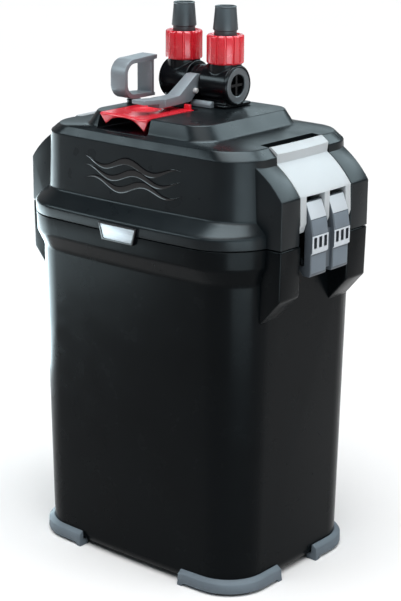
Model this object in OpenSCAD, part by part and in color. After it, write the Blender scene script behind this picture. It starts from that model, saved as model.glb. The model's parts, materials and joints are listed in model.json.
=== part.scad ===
// Canister filter: a case on four feet, a motor head held down by two draw clamps, a hose valve with
// two ports, a primer pump and a stack of media baskets. Front is -Y, the clamps are on +X and -X.

/* [Case] */
// Width of the case wall at the top
case_w = 207; // [204:1:210]
// Depth of the case wall at the top, without the bulge
case_d = 147; // [144:1:150]
// Height of the seam between the case and the head
seam_z = 260.4; // [258:0.2:262]
// How far the front and back bulge, as a part of the half depth
bow = 0.055; // [0.03:0.005:0.07]
// Wall of the case
wall = 3.6; // [3:0.2:4.5]
// Height of the grey corner feet
foot_h = 9.7; // [8:0.1:11]

/* [Head] */
// Width of the collar at the seam
collar_w = 215; // [213:0.2:218]
// Depth of the collar at the seam, without the bulge
collar_d = 163.4; // [160:0.2:166]
// Height of the lid's top edge
lid_z = 325.5; // [324:0.5:327]
// Height of the raised platform
platform_z = 338.5; // [337:0.5:340]

/* [Clamps] */
// Half width of a clamp lever
lever_half = 29.8; // [28:0.1:29.9]
// Outer face of the lever's legs, from the middle of the filter
lever_x = 119.5; // [119.2:0.1:120.4]

/* [Hose valve] */
// Place of the valve's middle, left to right
valve_x = -9; // [-12:1:0]
// Place of the valve's axis, front to back
valve_y = 20; // [18:1:24]
// Height of the valve's axis
valve_z = 354.7; // [354:0.1:356]
// Distance between the two hose ports
port_pitch = 39.4; // [38:0.2:42]
// Radius of the valve barrels
barrel_r = 14.8; // [14:0.1:15]
// Radius of the bore that takes the hose
hose_bore_r = 6.3; // [6:0.1:6.6]

/* [Primer] */
// Place of the primer rod, left to right
primer_x = -47.6; // [-48:0.2:-46]
// Place of the primer rod, front to back
primer_y = -14.7; // [-16:0.1:-12]

/* [Hidden] */
$fn = 64;

// Colours
charcoal = [0.13, 0.14, 0.16];
black = [0.06, 0.06, 0.07];
light_grey = [0.80, 0.82, 0.85];
mid_grey = [0.62, 0.65, 0.69];
red = [0.85, 0.10, 0.15];
blue_grey = [0.45, 0.50, 0.56];
silver = [0.75, 0.76, 0.78];
foam_blue = [0.12, 0.14, 0.18];

fit_gap = 0.05;       // radial running clearance of a pin or shaft
part_gap = 0.15;      // gap between fixed neighbours

// ---------------------------------------------------------------- outlines

corner_steps = 8;
side_steps = 8;

// Quarter circle of a corner, counter-clockwise from angle a
function corner(cx, cy, r, a) =
    [for (i = [0:corner_steps]) let (t = a + 90 * i / corner_steps) [cx + r * cos(t), cy + r * sin(t)]];

// Points between two corners along the back (s = 1) or the front (s = -1)
function side(w, d, r, s) =
    [for (i = [1:side_steps - 1]) [s * (w / 2 - r) * (1 - 2 * i / side_steps), s * d / 2]];

// Rounded rectangle whose front and back bulge outwards
function outline(w, d, r, cy = 0, bulge = bow) = [
    for (p = concat(corner(w / 2 - r, r - d / 2, r, -90), corner(w / 2 - r, d / 2 - r, r, 0),
                    side(w, d, r, 1), corner(r - w / 2, d / 2 - r, r, 90),
                    corner(r - w / 2, r - d / 2, r, 180), side(w, d, r, -1)))
    [p[0], cy + p[1] * (1 + bulge * (1 - pow(2 * p[0] / w, 2)))]
];

// Closed skin through rings given as [width, depth, corner radius, height, centre y, bulge], bottom first
module ring_stack(rings) {
    n = 4 * (corner_steps + 1) + 2 * (side_steps - 1);
    last = len(rings) - 1;
    skin_points = [for (k = rings) for (p = outline(k[0], k[1], k[2], k[4], k[5])) [p[0], p[1], k[3]]];
    caps = [[0, rings[0][4], rings[0][3]], [0, rings[last][4], rings[last][3]]];
    low = n * (last + 1);
    sides = [for (k = [0:last - 1]) for (i = [0:n - 1]) let (j = (i + 1) % n, a = k * n, b = a + n)
        each [[a + i, b + i, b + j], [a + i, b + j, a + j]]];
    ends = [for (i = [0:n - 1]) let (j = (i + 1) % n, t = n * last)
        each [[low, i, j], [low + 1, t + j, t + i]]];
    polyhedron(concat(skin_points, caps), concat(sides, ends));
}

// Upright plate with the bulging outline
module plate(w, d, r, z0, z1) {
    translate([0, 0, z0]) linear_extrude(z1 - z0) polygon(outline(w, d, r));
}

// Extrudes an XZ profile from y0 to y1
module along_y(y0, y1) {
    translate([0, y1, 0]) rotate([90, 0, 0]) linear_extrude(y1 - y0) children();
}

// Extrudes a YZ profile from x0 to x1
module along_x(x0, x1) {
    translate([x0, 0, 0]) rotate([90, 0, 90]) linear_extrude(x1 - x0) children();
}

module rod_x(y, z, r, x0, x1) { translate([x0, y, z]) rotate([0, 90, 0]) cylinder(r = r, h = x1 - x0); }
module rod_y(x, z, r, y0, y1) { translate([x, y0, z]) rotate([-90, 0, 0]) cylinder(r = r, h = y1 - y0); }
module rod_z(x, y, r, z0, z1) { translate([x, y, z0]) cylinder(r = r, h = z1 - z0); }
module tube_z(x, y, r, bore, z0, z1) {
    difference() {
        rod_z(x, y, r, z0, z1);
        rod_z(x, y, bore, z0 - 1, z1 + 1);
    }
}
module box(x0, x1, y0, y1, z0, z1) { translate([x0, y0, z0]) cube([x1 - x0, y1 - y0, z1 - z0]); }

// Puts a piece drawn for the right side on the left (s = -1) or leaves it on the right (s = 1)
module on_side(s) { if (s < 0) mirror([1, 0, 0]) children(); else children(); }

// ---------------------------------------------------------------- case and feet

floor_z = 8;                       // inside floor of the case
under_z = 4;                       // underside of the case
case_rim = seam_z - 0.2;           // top face of the case
collar_low = seam_z - 14;          // lower edge of the case's collar
case_rings = [
    [case_w - 12, case_d - 10, 28, under_z, 0, bow],
    [case_w - 8.6, case_d - 6.2, 29, 9, 0, bow],
    [case_w - 0.6, case_d, 32, collar_low - 12, 0, bow],
    [collar_w - 0.6, collar_d, 40, collar_low, 0, bow],
    [collar_w, collar_d, 40, case_rim, 0, bow]
];
cavity_rings = [
    [case_w - 18, case_d - 16, 26, floor_z, 0, bow],
    [case_w - 2 * wall - 0.8, case_d - 2 * wall - 0.8, 28, seam_z - 24, 0, bow],
    [case_w - 6, case_d - 6, 29, seam_z + 2, 0, bow]
];

cheek_in = 28.4;                   // inner face of a case cheek
cheek_out = 51.5;                  // outer face of every cheek
case_cheek = [[98, case_rim], [118.8, case_rim], [118, 224], [114.8, 220.5], [102, 205.5], [96, 205.5]];
pocket_x = 104.6;                  // floor of the pocket between the case's cheeks
rib = [[100, 252], [111.5, 252], [116.2, 249.2], [116.2, 245], [113, 244.8], [100, 244.8]];
rib_half = 23.6;

module canister_case() color(charcoal) {
    difference() {
        union() {
            ring_stack(case_rings);
            for (s = [-1, 1]) on_side(s)
                for (y = [-cheek_out, cheek_in]) along_y(y, y + cheek_out - cheek_in) polygon(case_cheek);
        }
        for (s = [-1, 1]) on_side(s) box(pocket_x, 130, -cheek_in, cheek_in, 200, 262);
        ring_stack(cavity_rings);
    }
    for (s = [-1, 1]) on_side(s) along_y(-rib_half, rib_half)
        polygon([for (p = rib) [max(p[0], 102.4), p[1]]]);
}

foot_rings = [
    [208, 148.6, 32, 0, 0, bow],
    [206.6, 147.6, 30, foot_h, 0, bow],
    [case_w - 8.3, case_d - 5.9, 29, foot_h + 1.9, 0, bow]
];
foot_x = 50;                       // where a foot starts along the front
foot_y = 22;                       // where a foot starts along the side

module corner_foot(sx, sy) color(blue_grey) mirror([sx < 0 ? 1 : 0, 0, 0]) mirror([0, sy < 0 ? 1 : 0, 0])
    difference() {
        intersection() {
            ring_stack(foot_rings);
            box(foot_x, 120, foot_y, 95, -1, 20);
        }
        ring_stack(case_rings);
        plate(176, 116, 18, -1, under_z + 1);
    }

// ---------------------------------------------------------------- head

head_rim = seam_z + 0.2;
lid_cy = -5;                       // the platform sits this far forward of the middle
head_rings = [
    [collar_w, collar_d, 40, head_rim, 0, bow],
    [collar_w - 1.2, collar_d + 1, 39, seam_z + 8.4, 0, bow],
    [200.6, 136.8, 30, seam_z + 17.1, 0, bow],
    [195.4, 133, 26, lid_z - 5.9, 0, bow],
    [181, 127.5, 25, lid_z, 0, bow],
    [121, 112, 19, lid_z + 2.5, lid_cy, 0],
    [106, 106, 16, platform_z, lid_cy, 0]
];
head_cavity_rings = [
    [196, 136, 29, head_rim - 1, 0, bow],
    [184, 127, 28, seam_z + 17, 0, bow],
    [179, 123, 22, 298, 0, bow],
    [156, 118, 22, 313, 0, bow],
    [150, 114, 22, 322, 0, bow]
];

// Clamp geometry in the XZ plane: the skin of lever and cheeks is an arc about this centre
skin_c = [57.4, 251.3];
cheek_r = 74.8;
plate_r = 75.5;
function skin(r, a0, a1, n = 8) =
    [for (i = [0:n]) let (t = a0 + (a1 - a0) * i / n) skin_c + r * [cos(t), sin(t)]];
head_cheek = concat([[90, head_rim], [118.8, head_rim]], skin(cheek_r, 34.9, 59), [[90, 316]]);
head_pocket_y = 30.3;              // inner face of a head cheek
hinge_p = [113, 272];              // clamp lever hinge
link_p = [116.5, 284];             // link between lever and hooks
pin_r = 2;
link_r = 1.75;

recess_x0 = -41;                   // recess under the release lever
recess_x1 = 7.6;
recess_floor = lid_z + 2.3;
recess_back = -5.5;
release_p = [-9, 334.5];           // release lever hinge in the YZ plane

function port_x(s) = valve_x + s * port_pitch / 2;
stub_r = 8.5;

module head_cover() color(charcoal) difference() {
    union() {
        ring_stack(head_rings);
        for (s = [-1, 1]) on_side(s) for (y = [-cheek_out, head_pocket_y])
            along_y(y, y + cheek_out - head_pocket_y)
                polygon([for (p = head_cheek) [max(p[0], 93.5), p[1]]]);
    }
    ring_stack(head_cavity_rings);
    for (s = [-1, 1]) on_side(s) {
        box(101, 130, -head_pocket_y, head_pocket_y, 255, 298);
        box(83, 130, -head_pocket_y, head_pocket_y, 315.8, 340);
        along_y(-head_pocket_y, head_pocket_y)
            polygon(concat(skin(plate_r - 3.8, 50, 63), [[88, 330], [120, 330], [120, 298]]));
        rod_y(hinge_p[0], hinge_p[1], pin_r + 0.02, -36, 36);
    }
    box(recess_x0, recess_x1, -70, recess_back, recess_floor, 345);
    rod_x(release_p[0], release_p[1], 1.28, -44, 10.6);
    for (s = [-1, 1]) rod_z(port_x(s), valve_y, stub_r + 1.1, 300, 345);
    rod_z(primer_x, primer_y, 5.1, 300, 345);
    box(24, 46, -48, 42, 318, platform_z - 3.5);
    rod_y(60, 286, 6.1, 55, 90);
}

base_z = 252;                      // underside of the head base
base_top = 257;
pump_x = 48;                       // pump and motor axis
pump_y = 5;

module head_base() color(black) {
    difference() {
        union() {
            plate(197, 137, 28, base_z, base_top);
            difference() {
                plate(190, 130, 26, base_top - 0.5, 266);
                plate(184, 124, 24, base_top - 1, 267);
            }
            for (p = screw_places) rod_z(p[0], p[1], 4.2, base_top - 0.5, 264);
        }
        rod_z(pump_x, pump_y, 18.2, base_z - 1, base_top + 1);
        for (s = [-1, 1]) rod_z(port_x(s), valve_y, 10.15, base_z - 1, base_top + 1);
        rod_z(primer_x, primer_y, 9.15, base_z - 1, base_top + 1);
        for (p = screw_places) rod_z(p[0], p[1], 1.8, base_z - 1, 262);
    }
}

screw_places = [[78, 48], [-78, 48], [78, -48], [-78, -48], [0, -58], [0, 58]];

module base_screws() color(silver) for (p = screw_places) {
    rod_z(p[0], p[1], 1.75, base_z - 0.1, 261);
    difference() {
        rod_z(p[0], p[1], 3.4, base_z - 2.4, base_z - 0.1);
        for (a = [0, 90]) translate([p[0], p[1], base_z - 2.4]) rotate([0, 0, a])
            cube([4, 0.9, 2.2], center = true);
    }
}

module head_gasket() color(black) difference() {
    plate(199.6, 139.6, 29, base_z - 2.8, base_z - 0.1);
    plate(190, 130, 25, base_z - 4, base_z + 1);
}

badge_x = 2;
badge = [[-14.6, 254.3], [14.6, 254.3], [18.1, 267.2], [-18.1, 267.2]];
badge_back = -84.4;

module badge_shape(grow, y0, y1) along_y(y0, y1)
    offset(delta = grow) translate([badge_x, 0]) polygon(badge);

module badge_bezel() color(black) difference() {
    badge_shape(0, -88.6, badge_back);
    badge_shape(-1.3, -90, -87.2);
    ring_stack(case_rings);
    ring_stack(head_rings);
}

module badge_plate() color(silver) badge_shape(-1.4, -88.4, -87.2);

// Three gloss ripples that follow the bulging front wall
ripple_w = 92;
function ripple_edge(z, phase, half, i) =
    let (t = i / 32 - 0.5, x = ripple_w * t)
    [x, z + 3.2 * sin(360 * x / 46 + phase) + half * cos(180 * t)];
function ripple_band(z, phase, half) = concat(
    [for (i = [0:32]) ripple_edge(z, phase, -half, i)],
    [for (i = [31:-1:1]) ripple_edge(z, phase, half, i)]);
inlay_rings = [
    [201.4, 137.8, 30, 277.5, 0, bow],
    [196.6, 134.2, 26, lid_z - 5.9, 0, bow]
];

module front_inlay() color(black) difference() {
    intersection() {
        ring_stack(inlay_rings);
        for (k = [0:2]) along_y(-80, -55) polygon(ripple_band(291 + 7.4 * k, 60 * k, 2.6));
    }
    ring_stack(head_rings);
}

module cable_gland() color(black) difference() {
    union() {
        rod_y(60, 286, 6, 62.5, 71);
        rod_y(60, 286, 8.5, 70.9, 74.5);
        rod_y(60, 286, 5, 74.5, 88.6);
    }
    rod_y(60, 286, 3.2, 60, 90);
}

// ---------------------------------------------------------------- motor and pump

well_r = 18;
well_top = 303;
shaft_r = 1.5;

module motor_stator() color([0.35, 0.35, 0.38]) {
    difference() {
        box(pump_x - 26, pump_x + 26, pump_y - 23, pump_y + 23, 268, 296);
        rod_z(pump_x, pump_y, well_r + part_gap, 260, 300);
    }
    for (s = [-1, 1]) translate([pump_x + s * 18, pump_y, 282]) rotate([90, 0, 0])
        difference() {
            cylinder(r = 8, h = 60, center = true);
            cube([30, 40, 45], center = true);
        }
}

module impeller_well() color(black) difference() {
    union() {
        rod_z(pump_x, pump_y, well_r, base_top - 4.9, well_top);
        rod_z(pump_x, pump_y, 24, base_top + 0.1, base_top + 2.6);
    }
    rod_z(pump_x, pump_y, 15.2, 240, well_top - 5);
    rod_z(pump_x, pump_y, 4.05, 240, well_top - 2);
}

module impeller_shaft() color([0.92, 0.92, 0.90]) rod_z(pump_x, pump_y, shaft_r, 239.4, well_top - 2.6);

module shaft_bushes() color(black) {
    tube_z(pump_x, pump_y, 4, shaft_r, well_top - 6.2, well_top - 2.2);
    tube_z(pump_x, pump_y, 4, shaft_r, 239.2, 242.6);
}

module impeller_magnet() color(black) difference() {
    rod_z(pump_x, pump_y, 14.6, 260, 295.5);
    rod_z(pump_x, pump_y, shaft_r + fit_gap, 255, 300);
    for (a = [0:60:300]) translate([pump_x, pump_y, 278]) rotate([0, 0, a]) translate([14.6, 0, 0])
        cylinder(r = 1, h = 40, center = true);
}

module impeller_wheel() color([0.85, 0.85, 0.83]) difference() {
    union() {
        rod_z(pump_x, pump_y, 5.5, 243.4, 260);
        rod_z(pump_x, pump_y, 14, 251.5, 253.5);
        for (a = [0:60:300]) translate([pump_x, pump_y, 244.5]) rotate([0, 0, a]) translate([4, -0.8, 0])
            cube([13, 1.6, 7.2]);
    }
    rod_z(pump_x, pump_y, shaft_r + fit_gap, 240, 265);
}

module impeller_cover() color(charcoal) difference() {
    union() {
        rod_z(pump_x, pump_y, 22, 239, base_z - 0.1);
        rod_z(pump_x, pump_y, 26, base_z - 2.6, base_z - 0.1);
        box(port_x(1) - 11.5, pump_x, valve_y - 11, valve_y + 11, 239.5, base_z - 0.1);
    }
    rod_z(pump_x, pump_y, 19, 243, base_z + 1);
    box(port_x(1) - 8, pump_x, valve_y - 7.5, valve_y + 3.5, 243.2, base_z + 1);
    rod_z(pump_x, pump_y, 4, 236, 246);
    for (a = [45:90:315]) translate([pump_x, pump_y, 236]) rotate([0, 0, a]) translate([11, 0, 0])
        cylinder(r = 4.2, h = 10);
}

module duct(s, low) color(black) difference() {
    union() {
        rod_z(port_x(s), valve_y, 10, low, 316.5);
        rod_z(port_x(s), valve_y, 12, base_top + 0.1, base_top + 2.1);
    }
    rod_z(port_x(s), valve_y, 7.6, low - 1, 320);
}

// ---------------------------------------------------------------- primer pump

primer_rod_r = 2.5;
cylinder_bore = 7.5;
loop_w = 14.3;                     // width of the handle's band
loop_back = -0.3;                  // back face of the rear post
loop_front = -32.5;
loop_low = 343;
loop_high = 373.2;

module primer_gland() color(black) difference() {
    union() {
        rod_z(primer_x, primer_y, 5, 327.2, platform_z + 0.1);
        rod_z(primer_x, primer_y, 5.35, platform_z + 0.1, platform_z + 3.2);
    }
    rod_z(primer_x, primer_y, primer_rod_r + fit_gap, 320, 345);
}

module primer_cylinder() color([0.7, 0.7, 0.72]) difference() {
    rod_z(primer_x, primer_y, 9, base_z + 0.5, 321.8);
    rod_z(primer_x, primer_y, cylinder_bore, base_z + 3, 325);
    rod_z(primer_x, primer_y, 3, base_z - 2, base_z + 4);
}

// Loop seen from the side: a rounded front and a flat rear post
module loop_outline(inset) {
    r = 11 - inset;
    hull() {
        for (z = [loop_low + 11, loop_high - 11]) translate([loop_front + 11, z]) circle(r = r);
        translate([loop_back - 5, loop_low + inset])
            square([5 - inset * 0.8, loop_high - loop_low - 2 * inset]);
    }
}

module primer_handle() color(light_grey) translate([primer_x, 0, 0]) {
    difference() {
        union() {
            along_x(-loop_w / 2, loop_w / 2) loop_outline(0);
            box(-loop_w / 2, loop_w / 2, loop_back - 2, loop_back + 3.5, loop_high - 3.2, loop_high);
            box(-loop_w / 2, loop_w / 2, loop_back - 2, loop_back + 1.2, loop_low, loop_low + 2.4);
            translate([0, primer_y, loop_low - 1.1]) cylinder(r = 4.4, h = 4);
        }
        along_x(-loop_w / 2 - 1, loop_w / 2 + 1) loop_outline(3.2);
        translate([0, primer_y, loop_low - 2]) cylinder(r = primer_rod_r + 0.02, h = 4);
    }
}

module primer_rod() color(silver) rod_z(primer_x, primer_y, primer_rod_r, 271, loop_low + 1.9);

module primer_piston() color(black) difference() {
    rod_z(primer_x, primer_y, cylinder_bore - fit_gap, 263, 271);
    tube_z(primer_x, primer_y, 8.5, 5.2, 265.8, 268.2);
}

module primer_seal() color([0.2, 0.2, 0.2]) translate([primer_x, primer_y, 267])
    rotate_extrude() translate([cylinder_bore - 1.2, 0]) circle(r = 1.1, $fn = 24);

// ---------------------------------------------------------------- hose valve

barrel_half = 11.1;                // from a port to its barrel's outer end
barrel_in = 6.2;                   // from the valve's middle to a barrel's inner end
rotor_r = 12.1;
peg_r = 5.95;
base_slab_z = platform_z + 0.1;
neck_r = 12.3;
port_top = valve_z + 31.6;
hub_r = 12.3;
hub_half = 5.9;

module barrel(s) {
    ends = [valve_x + s * barrel_in, port_x(s) + s * barrel_half];
    x0 = min(ends);
    x1 = max(ends);
    rod_x(valve_y, valve_z, barrel_r, x0, x1);
    box(x0 + 1.5, x1 - 1.5, valve_y - 11, valve_y + 11, base_slab_z, valve_z - 6);
    rod_z(port_x(s), valve_y, neck_r, valve_z + barrel_r + 0.1, port_top);
    intersection() {
        rod_z(port_x(s), valve_y, neck_r, valve_z + 4, valve_z + barrel_r + 0.2);
        box(x0, x1, 0, 40, valve_z, valve_z + 20);
    }
    rod_z(port_x(s), valve_y, stub_r, 317, base_slab_z + 4);
}

module barrel_hollow(s) {
    outer = port_x(s) + s * (barrel_half + 1);
    inner = port_x(s) - s * (barrel_half - 2);
    rod_x(valve_y, valve_z, rotor_r + fit_gap, min(outer, inner), max(outer, inner));
    through = valve_x + s * (barrel_in - 1);
    rod_x(valve_y, valve_z, peg_r + fit_gap, min(through, inner), max(through, inner));
    rod_z(port_x(s), valve_y, hose_bore_r + 0.7, 310, port_top + 1);
    for (z = [323, 331]) translate([port_x(s), valve_y, z])
        rotate_extrude() translate([stub_r + 0.25, 0]) circle(r = 1.15, $fn = 24);
}

module valve_body() color(black) difference() {
    union() {
        for (s = [-1, 1]) barrel(s);
        box(port_x(-1) - 10, port_x(1) + 11, valve_y - 13, valve_y + 18, base_slab_z, base_slab_z + 2.6);
        box(port_x(-1) - 4, port_x(1) + 4, valve_y + 14, valve_y + 18, base_slab_z, valve_z + 2);
        for (x = [port_x(-1), port_x(1)])
            box(x - 5, x + 5, valve_y + 8, valve_y + 18, valve_z - 10, valve_z + 2);
    }
    for (s = [-1, 1]) barrel_hollow(s);
}

module valve_seals() color([0.15, 0.15, 0.15]) for (s = [-1, 1]) for (z = [323, 331])
    translate([port_x(s), valve_y, z]) rotate_extrude()
        translate([stub_r + 0.1, 0]) circle(r = 0.95, $fn = 24);

module valve_end_caps() color(black) for (s = [-1, 1]) {
    face = port_x(s) + s * (barrel_half + 0.05);
    translate([face, valve_y, valve_z]) rotate([0, s * 90, 0]) difference() {
        union() {
            cylinder(r = barrel_r, h = 1);
            translate([0, 0, 1]) cylinder(r1 = barrel_r, r2 = barrel_r - 1, h = 0.8);
        }
        translate([0, 0, -1]) cylinder(r = 8.1, h = 4);
        translate([0, 0, 1.2]) cylinder(r = 11.5, h = 2);
    }
}

// Rotor with its cross bore, a peg into the lever hub and a crossed insert at the outer end
module valve_rotor(s) color(black) {
    outer = port_x(s) + s * (barrel_half - 0.3);
    inner = port_x(s) - s * (barrel_half - 2.2);
    difference() {
        union() {
            rod_x(valve_y, valve_z, rotor_r, min(outer, inner), max(outer, inner));
            hub = valve_x + s * 2.6;
            rod_x(valve_y, valve_z, peg_r, min(hub, port_x(s)), max(hub, port_x(s)));
        }
        rod_z(port_x(s), valve_y, hose_bore_r - 0.2, valve_z - 14, valve_z + 14);
        difference() {
            rod_x(valve_y, valve_z, 7.4, outer - s * 1.5 - 1.51, outer - s * 1.5 + 1.51);
            for (a = [0, 90]) translate([outer - s * 1.5, valve_y, valve_z]) rotate([a, 0, 0])
                cube([3.1, 15, 2], center = true);
        }
    }
}

module valve_latch() color(light_grey) difference() {
    box(valve_x + 1.5, valve_x + 20.5, valve_y - 17.4, valve_y - 13.1, platform_z + 0.2, platform_z + 4.8);
    rod_x(valve_y - 17.4, platform_z + 4.8, 1, valve_x, valve_x + 22);
}

// The lever's black hub between the barrels, with a blind bore at each end for a rotor peg
module valve_hub() color(black) difference() {
    rod_x(valve_y, valve_z, hub_r, valve_x - hub_half, valve_x + hub_half);
    for (s = [-1, 1]) rod_x(valve_y, valve_z, peg_r + 0.02, min(valve_x + s * 2.4, valve_x + s * 8),
                            max(valve_x + s * 2.4, valve_x + s * 8));
}

// Side view of the grey arm: web, slope and a thumb tab at the front
tab_front = -53.5;
lever_arm = [
    [tab_front, 346.5], [-36.6, 345.3], [-36.6, 342], [-1.1, 342.6], [4.6, 347.8], [9, 350.5],
    [11, 361.6], [4.4, 361.3], [-14.8, 348.5], [-29.8, 347.8], [tab_front, 349.7]
];
lever_plan = [
    [-5.7, tab_front - 1], [5.7, tab_front - 1], [5.7, -31], [6.2, -31], [5, 0],
    [5, 22], [-5, 22], [-5, 0], [-6.2, -31], [-5.7, -31]
];
catch_y = 3.2;
catch_z = 350.2;

module valve_lever() color(light_grey) difference() {
    intersection() {
        along_x(valve_x - 7, valve_x + 7) polygon(lever_arm);
        linear_extrude(400) translate([valve_x, 0]) polygon(lever_plan);
    }
    rod_x(valve_y, valve_z, hub_r + 0.02, valve_x - 8, valve_x + 8);
    rod_x(catch_y, catch_z, 2.02, valve_x - 8, valve_x + 8);
}

module lever_catch_pin() color([0.9, 0.9, 0.88]) rod_x(catch_y, catch_z, 2, valve_x - 6, valve_x + 7.6);

nut_low = valve_z + 15.3;
nut_high = nut_low + 21;

nut_r = 13.15;

module hose_nut(s) color(red) translate([port_x(s), valve_y, 0]) difference() {
    union() {
        translate([0, 0, nut_low]) cylinder(r1 = nut_r - 0.4, r2 = nut_r, h = 0.8);
        translate([0, 0, nut_low + 0.8]) cylinder(r = nut_r, h = 19.4);
        translate([0, 0, nut_high - 0.8]) cylinder(r1 = nut_r, r2 = nut_r - 0.7, h = 0.8);
        for (a = [0:30:330]) rotate([0, 0, a + 8]) translate([0, 0, nut_low + 1])
            linear_extrude(18.4)
                polygon([[11, -2.9], [13.1, -2.5], [13.6, -1.8], [13.6, 1.8], [13.1, 2.5], [11, 2.9]]);
    }
    translate([0, 0, nut_low - 1]) cylinder(r = neck_r + fit_gap, h = 19);
    translate([0, 0, nut_low]) cylinder(r = 9, h = 30);
}

cuff_low = port_top + 0.1;
cone_low = 394;
cone_high = 410.6;

module hose_cuff(s) color([0.2, 0.22, 0.24]) translate([port_x(s), valve_y, 0]) difference() {
    union() {
        translate([0, 0, cuff_low]) cylinder(r = 12.2, h = 1.4);
        translate([0, 0, cuff_low]) cylinder(r = 8.2, h = cone_low - cuff_low + 1);
        translate([0, 0, cone_low]) cylinder(r1 = 9.2, r2 = 7.8, h = cone_high - cone_low);
        translate([0, 0, cone_high]) cylinder(r = 8, h = 0.9);
    }
    translate([0, 0, cuff_low - 1]) cylinder(r = hose_bore_r, h = 40);
}

// ---------------------------------------------------------------- release lever

release_x0 = -39.5;
release_x1 = 6;
release_front = -60;

module release_lever() color(red) difference() {
    union() {
        box(release_x0, release_x1, release_front, release_p[0] + 0.6, 336.2, 338.9);
        along_x(release_x0, release_x0 + 5) translate([release_front, 0])
            polygon([[0, 337], [0.8, 332.4], [2.6, 332.4], [6, 337]]);
        along_x(release_x1 - 5.5, release_x1) translate([release_front, 0])
            polygon([[0, 337], [1, 329.2], [3.4, 329.2], [8, 337]]);
        for (x = [release_x0 + 1, release_x1 - 8]) {
            rod_x(release_p[0], release_p[1], 2.9, x, x + 7);
            box(x, x + 7, release_p[0] - 6, release_p[0], release_p[1], 337);
        }
        box(-2.8, 3, release_p[0] - 1.6, release_p[0] + 0.6, 338, 342.2);
    }
    rod_x(release_p[0], release_p[1], 1.3, -50, 20);
    translate([-22, -30, 338.9 + 38.9]) sphere(r = 39.6, $fn = 96);
}

module release_lever_pin() color(silver) rod_x(release_p[0], release_p[1], 1.25, -43.8, 10.4);

// ---------------------------------------------------------------- clamps

leg_w = lever_half - 23.2;         // width of a side leg
arris_a = 34.7;                    // where the skin turns into the legs
lip_a = 57.3;

lever_skin = concat(
    [[lever_x, 294.2]],
    skin(plate_r, arris_a, lip_a),
    [[99, 321.6], [98, 322.6], [93.2, 325.9], [91.6, 325.6], [91, 324.6], [93.4, 317.6]],
    skin(plate_r - 3.3, lip_a - 1.3, arris_a + 1),
    [[lever_x - 3.4, 294.2]]);
leg_side = concat(
    [[109, 270], [114.6, 268.6], [117.6, 271.4], [lever_x, 275.6]],
    skin(plate_r - 1, arris_a, 54),
    [[100.6, 311], [104.6, 296], [107.6, 284]]);

module clamp_lever(s) color(light_grey) on_side(s) difference() {
    union() {
        along_y(-lever_half, lever_half) polygon(lever_skin);
        for (y = [-lever_half, -3, lever_half - leg_w]) {
            w = y == -3 ? 6 : leg_w;
            along_y(y, y + w) polygon(leg_side);
            rod_y(hinge_p[0], hinge_p[1], 4.5, y, y + w);
        }
    }
    rod_y(hinge_p[0], hinge_p[1], pin_r + fit_gap, -40, 40);
    rod_y(link_p[0], link_p[1], link_r + 0.02, -27.6, 27.6);
}

prong_in = 3.5;
prong_out = 22.5;
pad_x = 124;                       // outer face of the prongs beside the slots
grip_x = 122.6;                    // outer face of the grips below them
prong_side = [
    [121.8, 237], [grip_x, 238.4], [grip_x, 253.2], [pad_x, 254.6], [pad_x, 266], [121.9, 277.9],
    [117.2, 289.6], [115.4, 290.2], [112.8, 287.2], [112.4, 281.6], [117, 276.4], [117, 246.6],
    [116.9, 244.2], [112.6, 243.8], [112.6, 241.6], [116.4, 237]
];
slot_z0 = 257.4;
slot_z1 = 265.2;

module clamp_hooks(s) color(mid_grey) on_side(s) difference() {
    union() {
        for (y = [-prong_out, prong_in]) along_y(y, y + prong_out - prong_in) polygon(prong_side);
        box(117, 120.6, -prong_in - 0.5, prong_in + 0.5, 240, 268);
    }
    for (y = [-13, 13]) for (k = [-1:1])
        box(pad_x - 3.6, 125, y + 5.9 * k - 1.75, y + 5.9 * k + 1.75, slot_z0, slot_z1);
    rod_y(link_p[0], link_p[1], link_r + fit_gap, -30, 30);
}

module clamp_hinge_pin(s) color(silver) on_side(s) rod_y(hinge_p[0], hinge_p[1], pin_r, -35.8, 35.8);
module clamp_link_pin(s) color(silver) on_side(s) rod_y(link_p[0], link_p[1], link_r, -27.4, 27.4);

// ---------------------------------------------------------------- filter media

tier_h = 70;
tier_z = 10;
basket_x0 = -59;
basket_x1 = 90;
basket_y = 61;

module basket_floor_slots(z) for (x = [basket_x0 + 14:9:basket_x1 - 16])
    box(x, x + 4, -48, 48, z - 1, z + 5);

module basket_shape(inset, z0, z1) translate([0, 0, z0]) linear_extrude(z1 - z0)
    translate([(basket_x0 + basket_x1) / 2, 0])
        polygon(outline(basket_x1 - basket_x0 - 2 * inset, 2 * (basket_y - inset), 20 - inset, 0, 0));

module media_basket(tier) color(charcoal) {
    z = tier_z + tier_h * tier;
    difference() {
        basket_shape(0, z, z + tier_h - 0.2);
        basket_shape(2.2, z + 2.4, z + tier_h + 1);
        basket_floor_slots(z);
    }
}

module basket_cover() color(charcoal) difference() {
    z = tier_z + 3 * tier_h;
    union() {
        basket_shape(0, z, z + 3);
        basket_shape(2.5, z - 3, z + 1);
    }
    translate([0, 0, -4]) basket_floor_slots(z);
    basket_floor_slots(z);
    basket_shape(5, z - 4, z);
}

module foam_frame() color(charcoal) difference() {
    box(-90, -62, -52, 52, tier_z, 222);
    box(-86.5, -65.5, -47, 47, 15, 217);
    for (z = [22:24:200]) box(-95, -55, -43, 43, z, z + 17);
}

module foam_pads() color(foam_blue) for (x = [-86.3, -75.8]) box(x, x + 10.1, -46.8, 46.8, 15.2, 216.8);

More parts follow.
